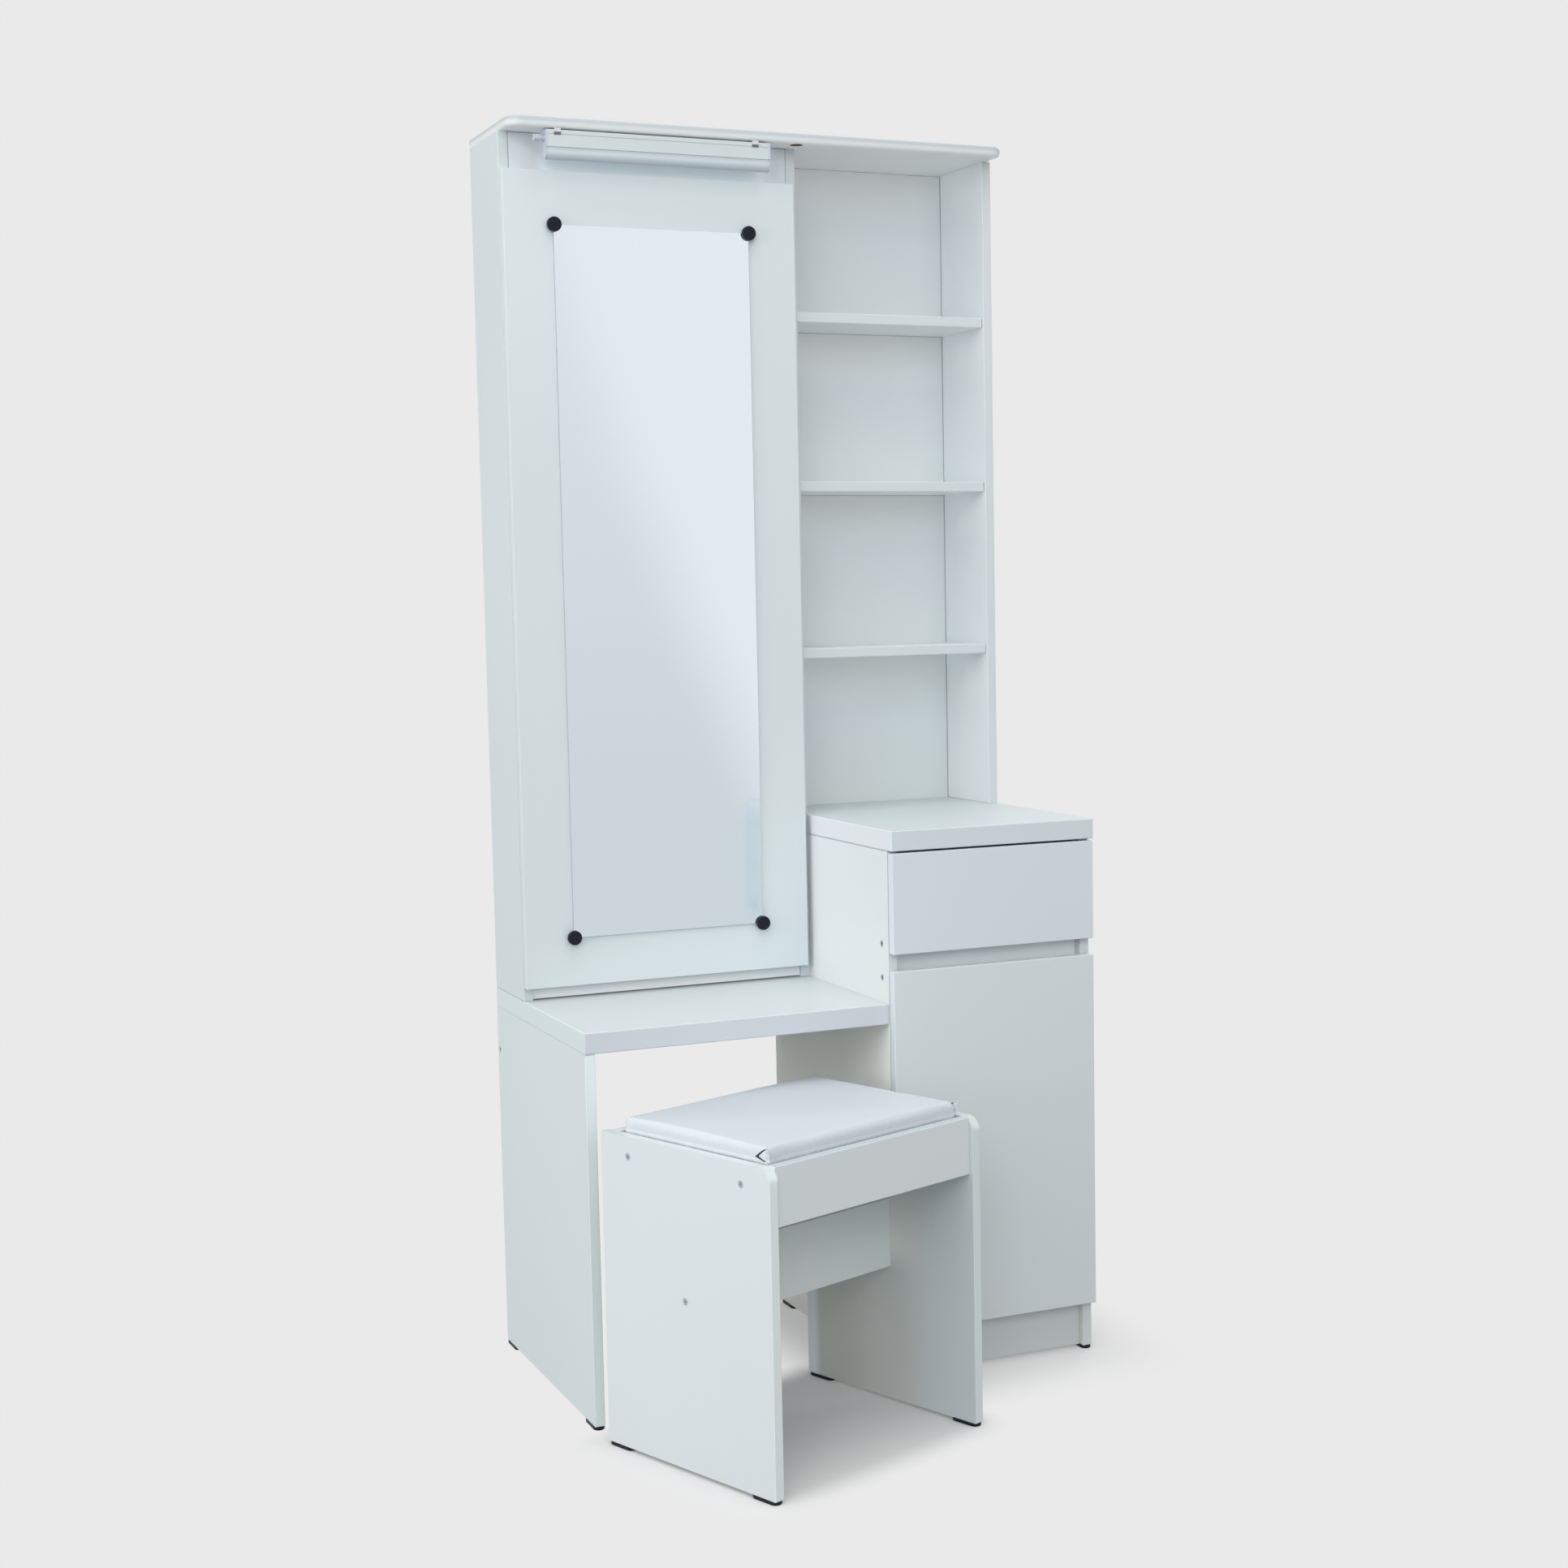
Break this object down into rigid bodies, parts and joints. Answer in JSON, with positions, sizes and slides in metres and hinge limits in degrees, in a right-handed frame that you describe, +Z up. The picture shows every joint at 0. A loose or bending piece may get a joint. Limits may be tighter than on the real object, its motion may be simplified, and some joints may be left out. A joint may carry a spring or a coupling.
{
  "type": "dressing table with stool",
  "caption": "White dressing table: low desk beside a cabinet with drawer and door, tall hutch with mirror door, open shelves and lamp, and a padded stool.",
  "frame": {"origin": "on the floor, in the middle of the rectangle that the unit and its stool stand in", "axes": "+Z up, +X to the right for someone who faces the mirror, +Y to the back of the unit"},
  "size_m": [0.802, 0.8062, 1.85],
  "materials": {
    "white_board": "satin white melamine with softened edges",
    "hardboard": "smooth white-faced hardboard",
    "silvered_glass": "polished silvered glass",
    "black_plastic": "smooth moulded black plastic",
    "white_plastic": "smooth moulded white plastic",
    "opal_plastic": "translucent opal plastic",
    "lamp_strip": "white circuit strip",
    "painted_metal": "white painted sheet steel",
    "steel": "nickel-plated steel",
    "dark_clip": "dark sprung steel",
    "beech": "plain beech",
    "vinyl": "white vinyl cover with a fine grain"
  },
  "bodies": {
    "unit": {"top_panel": "white_board", "hutch_side_left": "white_board", "hutch_divider": "white_board", "hutch_side_right": "white_board", "hutch_bottom": "white_board", "lamp_fascia": "white_board", "hutch_back_left": "hardboard", "hutch_back_right": "hardboard", "hutch_brace": "white_board", "open_shelf_lower": "white_board", "open_shelf_middle": "white_board", "open_shelf_upper": "white_board", "inner_shelves": "white_board", "desk_top": "white_board", "leg_panel": "white_board", "desk_back_rail": "white_board", "cabinet_side_left": "white_board", "cabinet_side_right": "white_board", "cabinet_top": "white_board", "cabinet_bottom": "white_board", "plinth": "white_board", "finger_rail": "white_board", "cabinet_shelf": "white_board", "cabinet_back": "hardboard", "shelf_pins": "steel", "shelf_dowels": "beech", "unit_screws": "steel", "unit_glides": "black_plastic", "runner_rails": "painted_metal", "mirror_hinge_arms": "steel", "cabinet_hinge_arms": "steel", "lamp_housing": "painted_metal", "lamp_diffuser": "opal_plastic", "lamp_end_caps": "white_plastic", "lamp_clips": "dark_clip", "lamp_led_strip": "lamp_strip", "lamp_inlet": "white_plastic"},
    "mirror_door": {"mirror_door_panel": "white_board", "mirror_glass": "silvered_glass", "mirror_clips": "black_plastic", "mirror_hinge_cups": "steel"},
    "cabinet_door": {"cabinet_door_panel": "white_board", "cabinet_hinge_cups": "steel"},
    "drawer": {"drawer_front": "white_board", "drawer_side_left": "white_board", "drawer_side_right": "white_board", "drawer_back": "white_board", "drawer_bottom": "hardboard", "drawer_runners": "painted_metal"},
    "front_rollers": {"front_rollers": "white_plastic"},
    "rear_rollers": {"rear_rollers": "white_plastic"},
    "stool": {"stool_side_left": "white_board", "stool_side_right": "white_board", "stool_front_rail": "white_board", "stool_back_rail": "white_board", "stool_stretcher": "white_board", "stool_seat_board": "white_board", "stool_cushion": "vinyl", "stool_screws": "steel", "stool_glides": "black_plastic"}
  },
  "joints": [
    {"name": "mirror_door_hinge", "type": "hinge", "parent": "unit", "child": "mirror_door", "pos_m": [-0.3995, 0.2366, 0.585], "axis": [0, 0, -1], "range_deg": [0, 100]},
    {"name": "cabinet_door_hinge", "type": "hinge", "parent": "unit", "child": "cabinet_door", "pos_m": [0.399, -0.0534, 0.076], "axis": [0, 0, 1], "range_deg": [0, 100]},
    {"name": "drawer_slide", "type": "slide", "parent": "unit", "child": "drawer", "axis": [0, -1, 0], "range_m": [0, 0.3]},
    {"name": "front_roller_spin", "type": "hinge", "parent": "unit", "child": "front_rollers", "pos_m": [0.2325, -0.0219, 0.6922], "axis": [1, 0, 0], "continuous": true},
    {"name": "rear_roller_spin", "type": "hinge", "parent": "drawer", "child": "rear_rollers", "pos_m": [0.2325, 0.3466, 0.6916], "axis": [1, 0, 0], "continuous": true},
    {"name": "stool_slide", "type": "slide", "parent": "unit", "child": "stool", "axis": [0.3584, -0.9336, 0], "range_m": [-0.03, 0.3]}
  ],
  "couplings": [
    {"joint": "front_roller_spin", "follows": "drawer_slide", "rad_per_m": 100},
    {"joint": "rear_roller_spin", "follows": "drawer_slide", "rad_per_m": 102.04}
  ]
}
